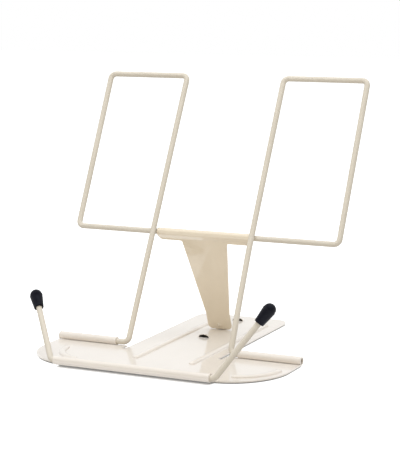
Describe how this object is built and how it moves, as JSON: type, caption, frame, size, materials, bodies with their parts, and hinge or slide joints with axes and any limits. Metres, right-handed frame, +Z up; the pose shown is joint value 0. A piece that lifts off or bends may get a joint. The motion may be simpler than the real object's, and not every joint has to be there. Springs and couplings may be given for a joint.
{
  "type": "book stand",
  "caption": "Folding book stand: stamped base plate with a rolled front lip, hinged wire back frame, sheet prop that stands against lanced catches, and swinging wire page arms with soft tips.",
  "frame": {"origin": "middle of the bounding box on the table, under the stand", "axes": "+X to the reader's right, +Y away from the reader, +Z up"},
  "size_m": [0.24, 0.2108, 0.2127],
  "materials": {
    "sheet_paint": "gloss cream enamel on steel sheet",
    "wire_paint": "gloss cream enamel on steel wire",
    "vinyl": "dipped black vinyl, satin",
    "pad": "thin grey non-slip pad"
  },
  "bodies": {
    "base": {"base_plate": "sheet_paint", "pad_front_left": "pad", "pad_front_right": "pad", "pad_rear_left": "pad", "pad_rear_right": "pad"},
    "frame": {"back_frame": "wire_paint"},
    "prop": {"prop": "sheet_paint"},
    "arm_left": {"page_arm_left": "wire_paint", "tip_left": "vinyl"},
    "arm_right": {"page_arm_right": "wire_paint", "tip_right": "vinyl"}
  },
  "joints": [
    {"name": "frame_fold", "type": "hinge", "parent": "base", "child": "frame", "pos_m": [0, -0.0256, 0.0045], "axis": [1, 0, 0], "range_deg": [-56.5, 5.7]},
    {"name": "prop_swing", "type": "hinge", "parent": "frame", "child": "prop", "pos_m": [0, 0.02504, 0.08747], "axis": [1, 0, 0], "range_deg": [-14.5, 141.5]},
    {"name": "arm_left_turn", "type": "hinge", "parent": "base", "child": "arm_left", "pos_m": [0, -0.102, 0.0055], "axis": [1, 0, 0], "range_deg": [-43.1, 131.9]},
    {"name": "arm_right_turn", "type": "hinge", "parent": "base", "child": "arm_right", "pos_m": [0, -0.102, 0.0055], "axis": [1, 0, 0], "range_deg": [-63.8, 111.2]}
  ],
  "couplings": [
    {"joint": "prop_swing", "follows": "frame_fold", "ratio": -2.5}
  ]
}
